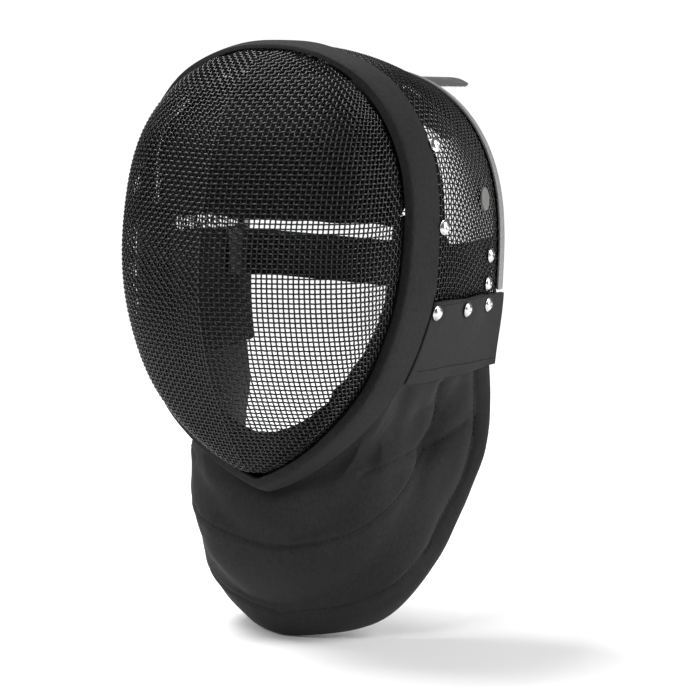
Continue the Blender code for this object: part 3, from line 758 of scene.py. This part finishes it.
# %% [markdown]
# ## The bib
# The bib is two layers of cloth with padding between them, sewn through along curved lines. The seam is
# the lowest place, the padding swells on both sides of it, and the thread gathers the cloth into short
# puckers. The lines are given on the wearer's left and mirrored.

# %% Sewn lines of the bib, in millimetres
MM = 0.001
UPPER_LINE = (
    (87, -2, -188), (80, 6, -204), (77, 1, -221), (76, -8, -231), (77, -20, -244), (75, -37, -255),
    (67, -52, -266), (58, -60, -274), (42, -66, -280), (17, -68, -286), (0, -69, -287),
)
LOWER_LINE = (
    (92, 37, -184), (92, 37, -202), (92, 32, -225), (91, 26, -250), (88, 16, -262), (84, 3, -279),
    (81, -6, -293), (75, -24, -304), (68, -34, -312), (57, -43, -319), (41, -50, -325), (0, -55, -332),
)
CROSS_LINE = (
    (89, 25, -216), (83, 11, -223), (76, -6, -227), (76, -30, -229), (68, -51, -235), (60, -58, -239),
)
CHIN_LINE = (
    (84, -42, -190), (76, -38, -206), (69, -48, -222), (50, -65, -235), (23, -68, -244), (0, -68, -248),
)


def smooth_path(path, step=0.002):
    """The same line, rounded at its corners and with even steps."""
    path = np.array(path, float) * MM
    for turn in range(3):
        between = (path[:-1] + path[1:]) / 2
        mixed = np.empty((len(path) + len(between), 3))
        mixed[0::2] = path
        mixed[1::2] = between
        mixed[1:-1] = (mixed[:-2] + 2 * mixed[1:-1] + mixed[2:]) / 4
        path = mixed
    length = by_length(path)
    return resample(path, length, np.arange(0, length[-1], step))


# %% The bib's outer faces
NECK_Y = -0.005


def halve_outer_faces(thing):
    """Halves the faces that point away from the neck, so that there are points enough for the seams."""
    only(thing)
    select_none("FACE")
    for face in thing.data.polygons:
        out_way = Vector((face.center.x, face.center.y - NECK_Y, 0.0)).normalized()
        face.select = face.normal.dot(out_way) > 0.15
    bpy.ops.object.mode_set(mode="EDIT")
    bpy.ops.mesh.subdivide(number_cuts=1, smoothness=0.0)
    bpy.ops.object.mode_set(mode="OBJECT")


def outwardness(points, normals):
    """1 on the outer cloth, 0 inside the neck."""
    facing = normals[:, 0] * points[:, 0] + normals[:, 1] * (points[:, 1] - NECK_Y)
    return np.clip(facing / np.linalg.norm(points[:, :2] - (0, NECK_Y), axis=1) * 2.0, 0, 1)


bib = soft_copy("bib", "bib_cloth", 2, 0.5)
halve_outer_faces(bib)

# %% Channels and gathers of the bib
SEAM_WIDTH = 0.0062
FRONT_SWELL = 0.0013
SIDE_SINK = 0.0033
DIP_WIDTH = 0.0019
DIP = 0.0015
GATHER = 0.00016
GATHER_STEP = 0.017
LOBE = 0.0012
CHIN_FOLD = 0.0022

points = points_of(bib)
normals = normals_of(bib)
mirrored = np.stack((np.abs(points[:, 0]), points[:, 1], points[:, 2]), axis=1)
at_side = np.clip((points[:, 1] + 0.035) / 0.025, 0, 1)
other_side = np.where(points[:, 0] > 0, 0.0, 1.3)
move = 0.0010 * rolling(points, 0.070, 1.0) + 0.0002 * rolling(points, 0.028, 4.0)
bib_lines = [smooth_path(line) for line in (UPPER_LINE, LOWER_LINE, CROSS_LINE)]
for number, line in enumerate(bib_lines):
    away, along = path_distance(mirrored, line)
    move += (FRONT_SWELL - SIDE_SINK * at_side) * hump(away, SEAM_WIDTH)
    move -= DIP * hump(away, DIP_WIDTH)
    turns = along * 2 * math.pi / GATHER_STEP + 3.0 * np.sin(along * 47 + number) + other_side
    move += GATHER * np.sin(turns) * hump(away, 0.0055, 0.004)
    move += LOBE * at_side * hump(away, 0.008, 0.012)
move -= CHIN_FOLD * hump(path_distance(mirrored, smooth_path(CHIN_LINE))[0], 0.007)
push(bib, points, normals, move * outwardness(points, normals))
smooth(bib, 60)
dress(bib, "bib", BIB_CLOTH)
print("bib:", triangles(bib), "triangles")

# %% [markdown]
# ## Stitches
# A seam is only believed when its thread shows. One stitch is a short round bar whose ends dip into the
# cloth. It is modelled once, then copied along each seam and turned with it.

# %% One stitch
STITCH_LENGTH = 0.0024
STITCH_RADIUS = 0.00024
STITCH_RISE = 0.00022
STITCH_SINK = 0.00008


def one_stitch():
    """A stitch along X that lies on the cloth, Z outwards."""
    bpy.ops.object.select_all(action="DESELECT")
    bpy.ops.mesh.primitive_cylinder_add(
        vertices=6, radius=STITCH_RADIUS, depth=STITCH_LENGTH, end_fill_type="TRIFAN",
        rotation=(0, math.pi / 2, 0),
    )
    made = bpy.context.object
    bpy.ops.object.transform_apply(location=True, rotation=True, scale=True)
    bpy.ops.object.mode_set(mode="EDIT")
    bpy.ops.mesh.select_all(action="DESELECT")
    bpy.ops.object.mode_set(mode="OBJECT")
    for edge in made.data.edges:
        ends = [made.data.vertices[index].co.x for index in edge.vertices]
        edge.select = abs(ends[0] - ends[1]) > 0.001
    bpy.ops.object.mode_set(mode="EDIT")
    bpy.ops.mesh.subdivide(number_cuts=2)
    bpy.ops.object.mode_set(mode="OBJECT")
    points = points_of(made)
    arch = np.cos(points[:, 0] / (STITCH_LENGTH / 2) * math.pi / 2)
    points[:, 2] += STITCH_RISE * arch - STITCH_SINK
    set_points(made, points)
    return made


STITCH = one_stitch()
STITCH_POINTS = points_of(STITCH)
STITCH_FACES = [tuple(face.vertices) for face in STITCH.data.polygons]
print("one stitch:", triangles(STITCH), "triangles")

# %% Stitches along seams
STITCH_PITCH = 0.0036
STITCH_LIFT = 0.0001


def stitch_places(line, tree):
    """Each stitch's place on a surface, with three directions: along the seam, across it and outwards."""
    length = by_length(line)
    for at in np.arange(STITCH_PITCH, length[-1] - STITCH_PITCH, STITCH_PITCH):
        here = resample(line, length, [at - 0.001, at, at + 0.001])
        spot, normal = tree.find_nearest(Vector(here[1]))[:2]
        if normal is None:
            continue
        along = Vector(here[2] - here[0])
        along = (along - normal * along.dot(normal)).normalized()
        yield spot + normal * STITCH_LIFT, (along, normal.cross(along), normal)


def sew(name, lines, surface, material, both=True):
    """Copies the stitch along lines, laid on a surface; with both, mirrored lines are sewn too."""
    tree = tree_of(surface)
    points, faces = [], []
    for line in lines:
        for sign in ((1, -1) if both else (1,)):
            for spot, turned in stitch_places(np.asarray(line) * (sign, 1, 1), tree):
                base = len(points) * len(STITCH_POINTS)
                points.append(STITCH_POINTS @ np.array(turned) + np.array(spot))
                faces += [tuple(base + index for index in face) for face in STITCH_FACES]
    mesh = bpy.data.meshes.new(name)
    mesh.from_pydata(np.concatenate(points).tolist(), [], faces)
    made = bpy.data.objects.new(name, mesh)
    bpy.context.scene.collection.objects.link(made)
    for face in mesh.polygons:
        face.use_smooth = True
    return dress(made, None, material)


bib_stitches = sew("bib_stitches", bib_lines, bib, THREAD)
print("bib stitches:", triangles(bib_stitches))

# %% [markdown]
# ## Side panels, band and padding
# The plain panels are pulled tight by three rivets each, so they dip a little at every rivet. The band is
# cloth over a firm edge, and it stays the most even. The pads inside are soft foam in dark cloth.

# %% Places of the rivets
RIVETS = [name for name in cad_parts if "_rivet_" in name]


def rivet_place(node):
    """A rivet's centre at its foot and the way it faces, from the points of its solid."""
    points = np.array([v.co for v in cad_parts[node].data.vertices])
    centre = (points.min(axis=0) + points.max(axis=0)) / 2
    spread = np.linalg.svd(points - points.mean(axis=0), full_matrices=False)[2]
    normal = spread[2]
    if normal[0] * centre[0] < 0:
        normal = -normal
    return centre + normal * ((points - centre) @ normal).min(), normal


RIVET_PLACES = {name: rivet_place(name) for name in RIVETS}
print("rivets:", len(RIVET_PLACES))

# %% Side panels with their dips
PANEL_SLACK = 0.0005
RIVET_DIP = 0.0007
RIVET_DIP_WIDTH = 0.0075
END_MARGIN = 0.004
TOP_MARGIN = 0.0035
FOOT_MARGIN = 0.0045

for side in ("left", "right"):
    node = "bib_side_" + side
    panel = soft_copy(node, "side_panel_" + side, 3, 0.8)
    points = points_of(panel)
    move = PANEL_SLACK * rolling(points, 0.045, 2.0)
    for centre, normal in RIVET_PLACES.values():
        move -= RIVET_DIP * hump(np.linalg.norm(points - centre, axis=1), RIVET_DIP_WIDTH)
    push(panel, points, normals_of(panel), move)
    smooth(panel, 50)
    dress(panel, node, BIB_CLOTH)
    low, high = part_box(node)
    edge = low.x if side == "right" else high.x
    run = np.linspace(low.y + END_MARGIN, high.y - END_MARGIN, 40)
    top = [(edge, y, high.z - TOP_MARGIN) for y in run]
    foot = [(edge, y, low.z + FOOT_MARGIN) for y in run]
    sew("panel_stitches_" + side, [top, foot], panel, THREAD, both=False)
    print("panel", side, triangles(panel))

# %% The band, the linings and the pads
band = soft_copy("binding_band", "binding_cloth", 2, 0.7)
uneven(band, 0.00018, 0.030, 3.0)
smooth(band, 45)
dress(band, "binding_band", BAND_CLOTH)
for node, name, levels, depth, length, fill in (
    ("forehead_pad", "brow_padding", 2, 0.0010, 0.040, 0.8),
    ("crown_pad", "crown_padding", 2, 0.0008, 0.035, 0.8),
    ("chin_padding", "chin_padding_cloth", 2, 0.0006, 0.030, 0.8),
    ("cheek_lining_left", "cheek_cloth_left", 2, 0.0003, 0.040, 0.9),
    ("cheek_lining_right", "cheek_cloth_right", 2, 0.0003, 0.040, 0.9),
):
    pad = soft_copy(node, name, levels, 0.4)
    uneven(pad, depth, length, 5.0)
    smooth(pad, 60)
    dress(pad, node, LINING)
    print(name, triangles(pad))

# %% [markdown]
# ## Lining along the seam
# Inside the face mesh, a strip of dark lining covers the cut ends of the wires. It is narrow at the brow
# and widens beside the jaw, with an uneven hand-cut edge. Its points are taken from the same level
# sections as the wires, a little inside them, so it follows the mesh everywhere.

# %% Lining strip
STRIP_LEVELS = (-0.235, -0.215, -0.195, -0.175, -0.155, -0.130, -0.100, -0.050, -0.010)
STRIP_WIDTHS = (0.0120, 0.0190, 0.0240, 0.0210, 0.0130, 0.0065, 0.0080, 0.0095, 0.0070)
STRIP_DEPTH = 0.0028
STRIP_THICKNESS = 0.0012
STRIP_SEAM_GAP = 0.0006
STRIP_ACROSS = 6


def strip_row(level, line, length):
    """Points across the strip at one level, from the seam inwards, a little inside the mesh."""
    width = np.interp(level, STRIP_LEVELS, STRIP_WIDTHS)
    width *= 1.0 + 0.10 * math.sin(level * 410) + 0.06 * math.sin(level * 977)
    wanted = np.linspace(length[-1] - STRIP_SEAM_GAP, length[-1] - width, STRIP_ACROSS)
    row = resample(line, length, wanted)
    way = np.gradient(row, axis=0)
    normal = np.stack((way[:, 1], -way[:, 0], np.zeros(len(way))), axis=1)
    normal /= np.linalg.norm(normal, axis=1)[:, None]
    inwards = np.sign(np.sum(normal * (np.array((0.0, FACE_HIGH.y, 0.0)) - row * (1, 1, 0)), axis=1))
    return row + normal * (inwards * STRIP_DEPTH)[:, None]


def lining_strip(name):
    """A ribbon inside the face mesh along its seam, on both sides."""
    every_third = zip(face_levels[::3], face_lines[::3], face_lengths[::3])
    grid = np.array([
        strip_row(level, line, length) for level, line, length in every_third
        if STRIP_LEVELS[0] < level < STRIP_LEVELS[-1]
    ])
    faces = []
    for i in range(len(grid) - 1):
        for j in range(STRIP_ACROSS - 1):
            a = i * STRIP_ACROSS + j
            faces.append((a, a + 1, a + 1 + STRIP_ACROSS, a + STRIP_ACROSS))
    total = len(grid) * STRIP_ACROSS
    faces += [tuple(total + index for index in reversed(face)) for face in faces]
    points = np.concatenate((grid.reshape(-1, 3), grid.reshape(-1, 3) * (-1, 1, 1)))
    mesh = bpy.data.meshes.new(name)
    mesh.from_pydata(points.tolist(), [], faces)
    made = bpy.data.objects.new(name, mesh)
    bpy.context.scene.collection.objects.link(made)
    only(made)
    bpy.ops.object.mode_set(mode="EDIT")
    bpy.ops.mesh.select_all(action="SELECT")
    bpy.ops.mesh.normals_make_consistent(inside=False)
    bpy.ops.object.mode_set(mode="OBJECT")
    add_modifier(made, "SOLIDIFY", thickness=STRIP_THICKNESS, offset=0.0)
    subdivide(made, 1)
    return made


strip = lining_strip("seam_lining")
smooth(strip, 60)
dress(strip, None, LINING)
print("seam lining:", triangles(strip))

# %% [markdown]
# ## Elastic, edging and tongue
# These keep the solid's shape and only lose their hard edges: the strap is flat webbing, the edging is a
# folded rubber strip, and the tongue is rolled spring steel.

# %% Strap, edging and tongue
strap = soft_copy("back_strap", "elastic_strap", 2, 0.8)
smooth(strap, 40)
dress(strap, "back_strap", ELASTIC)
trim = soft_copy("rear_trim", "rubber_edging", 2, 0.6)
smooth(trim, 45)
dress(trim, "rear_trim", TRIM)
tongue = soft_copy("tongue", "spring_tongue", 2, 0.75)
smooth(tongue, 40)
dress(tongue, "tongue", TONGUE_STEEL)
print("strap, edging, tongue:", triangles(strap), triangles(trim), triangles(tongue))

# %% [markdown]
# ## Rivets and discs
# A rivet of this kind has a thin flat rim, a round dome and a faint flat on top where the press held it.
# One is shaped from a cylinder with a row of insets and a bevel, then copied to all fourteen places. The
# two rubber discs on the sides are made the same way, flatter and wider.

# %% One rivet
RIVET_RADIUS = 0.0047
RIVET_STEPS = (
    (0.00035, 0.0001), (0.00030, 0.00045), (0.00055, 0.00055), (0.00080, 0.00042), (0.00090, 0.00024),
    (0.00060, 0.00004), (0.00030, -0.00008), (0.00040, -0.00006),
)
PLATE = 0.0004


def button(name, radius, steps, around=28):
    """A round head made by insets: each step is (inwards, upwards) in metres."""
    bpy.ops.object.select_all(action="DESELECT")
    bpy.ops.mesh.primitive_cylinder_add(
        vertices=around, radius=radius, depth=PLATE, location=(0, 0, PLATE / 2),
    )
    made = bpy.context.object
    made.name = name
    bpy.ops.object.transform_apply(location=True, rotation=True, scale=True)
    select_none("FACE")
    for face in made.data.polygons:
        face.select = face.normal.z > 0.9
    bpy.ops.object.mode_set(mode="EDIT")
    for inwards, upwards in steps:
        bpy.ops.mesh.inset(thickness=inwards, depth=upwards)
    bpy.ops.mesh.poke()
    bpy.ops.object.mode_set(mode="OBJECT")
    add_modifier(made, "BEVEL", width=0.00012, segments=2, angle_limit=math.radians(40))
    subdivide(made, 1)
    return made


def placed(source, name, centre, normal):
    """A copy with its own mesh, stood at a place with its Z along the normal."""
    made = bpy.data.objects.new(name, source.data.copy())
    bpy.context.scene.collection.objects.link(made)
    turned = Vector(normal).to_track_quat("Z", "Y").to_matrix()
    set_points(made, points_of(source) @ np.array(turned.transposed()) + centre)
    smooth(made, 50)
    return made


rivet = button("rivet", RIVET_RADIUS, RIVET_STEPS)
for name, (centre, normal) in RIVET_PLACES.items():
    head = placed(rivet, name.replace("rivet", "dome"), centre, normal)
    dress(head, name, RIVET_STEEL)
print("rivets:", len(RIVET_PLACES), "of", triangles(rivet), "triangles")

# %% The two discs
DISC_RADIUS = 0.0075
DISC_STEPS = (
    (0.0002, 0.0008), (0.0010, 0.00036), (0.0016, 0.0), (0.0003, -0.00016), (0.0016, 0.0), (0.0008, 0.0),
)

disc = button("disc", DISC_RADIUS, DISC_STEPS, around=40)
for side in ("left", "right"):
    node = "side_disc_" + side
    dress(placed(disc, "rubber_disc_" + side, *rivet_place(node)), node, DISC)
only(rivet, disc, STITCH)
bpy.ops.object.delete()

# %% [markdown]
# ## Light and camera
# The photograph has a plain white studio. The world looks white to the camera and gives only a weak even
# light. A large soft light from the left and above gives most of the brightness and the shadow, a smaller
# one in front draws the glints on the wires, and a third on the right lifts the side of the mask.

# %% Floor
FLOOR_SIZE = 2.5
FLOOR_GAP = 0.0004

floor_material, floor_tree, floor_shader = start_material("studio_floor", Roughness=0.9)
floor_grain = place_group(floor_tree, MOTTLE, Broad_scale=3.0)
floor_tree.links.new(
    tone(floor_tree, floor_grain.outputs["Broad"], (0.90, 0.90, 0.90), (0.92, 0.92, 0.92)),
    floor_shader.inputs["Base Color"],
)
bpy.ops.object.select_all(action="DESELECT")
bpy.ops.mesh.primitive_plane_add(size=FLOOR_SIZE, location=(0.0, 0.0, 0.0))
floor = bpy.context.object
floor.name = "studio_floor"
set_points(floor, points_of(floor) + (0.0, 0.0, cad_box[0][2] - FLOOR_GAP))
floor.data.materials.append(floor_material)


# %% Lights and world
def area_light(name, place, aim, size, power):
    light = bpy.data.lights.new(name, "AREA")
    light.shape = "RECTANGLE"
    light.size, light.size_y = size
    light.energy = power
    made = bpy.data.objects.new(name, light)
    made.location = place
    made.rotation_euler = (Vector(aim) - Vector(place)).to_track_quat("-Z", "Y").to_euler()
    bpy.context.scene.collection.objects.link(made)
    return made


world = bpy.data.worlds.new("studio")
bpy.context.scene.world = world
world.use_nodes = True
sky = world.node_tree
lit = sky.nodes["Background"]
lit.inputs["Color"].default_value = (1.0, 1.0, 1.0, 1.0)
lit.inputs["Strength"].default_value = 0.15
seen = sky.nodes.new("ShaderNodeBackground")
seen.inputs["Color"].default_value = (1.0, 1.0, 1.0, 1.0)
seen.inputs["Strength"].default_value = 1.05
ray = sky.nodes.new("ShaderNodeLightPath")
mixed = sky.nodes.new("ShaderNodeMixShader")
sky.links.new(ray.outputs["Is Camera Ray"], mixed.inputs[0])
sky.links.new(lit.outputs[0], mixed.inputs[1])
sky.links.new(seen.outputs[0], mixed.inputs[2])
sky.links.new(mixed.outputs[0], sky.nodes["World Output"].inputs["Surface"])

area_light("top_light", (-1.3, -0.1, 2.3), (0.1, 0.0, -0.3), (1.6, 1.6), 118.0)
area_light("key_light", (-0.4, -1.8, 1.0), (0.0, 0.0, -0.14), (0.7, 0.7), 19.0)
area_light("side_light", (1.5, 0.5, 0.5), (0.0, 0.0, -0.14), (0.7, 1.4), 32.0)

# %% Camera
FRAME = 700.0
FOCAL = 2620.0
SENSOR = 36.0
AIM = Vector((0.0, -0.062, 0.0275))
AIM_PIXEL = (272, 39)
DISTANCE = 1.6

turn, rise = math.radians(30.0), math.radians(8.0)
back = Vector((math.sin(turn) * math.cos(rise), -math.cos(turn) * math.cos(rise), math.sin(rise)))
right = Vector((math.cos(turn), math.sin(turn), 0.0))
up = back.cross(right)
camera = bpy.data.cameras.new("camera")
camera.sensor_width = SENSOR
camera.lens = SENSOR * FOCAL / FRAME
camera_object = bpy.data.objects.new("camera", camera)
sideways = (AIM_PIXEL[0] - FRAME / 2) / FOCAL * DISTANCE
upwards = (AIM_PIXEL[1] - FRAME / 2) / FOCAL * DISTANCE
place = AIM + back * DISTANCE - right * sideways + up * upwards
camera_object.matrix_world = Matrix.Translation(place) @ Matrix((right, up, back)).transposed().to_4x4()
bpy.context.scene.collection.objects.link(camera_object)
bpy.context.scene.camera = camera_object
bpy.context.scene.view_settings.view_transform = "Standard"
print("camera at", [round(c, 4) for c in place])
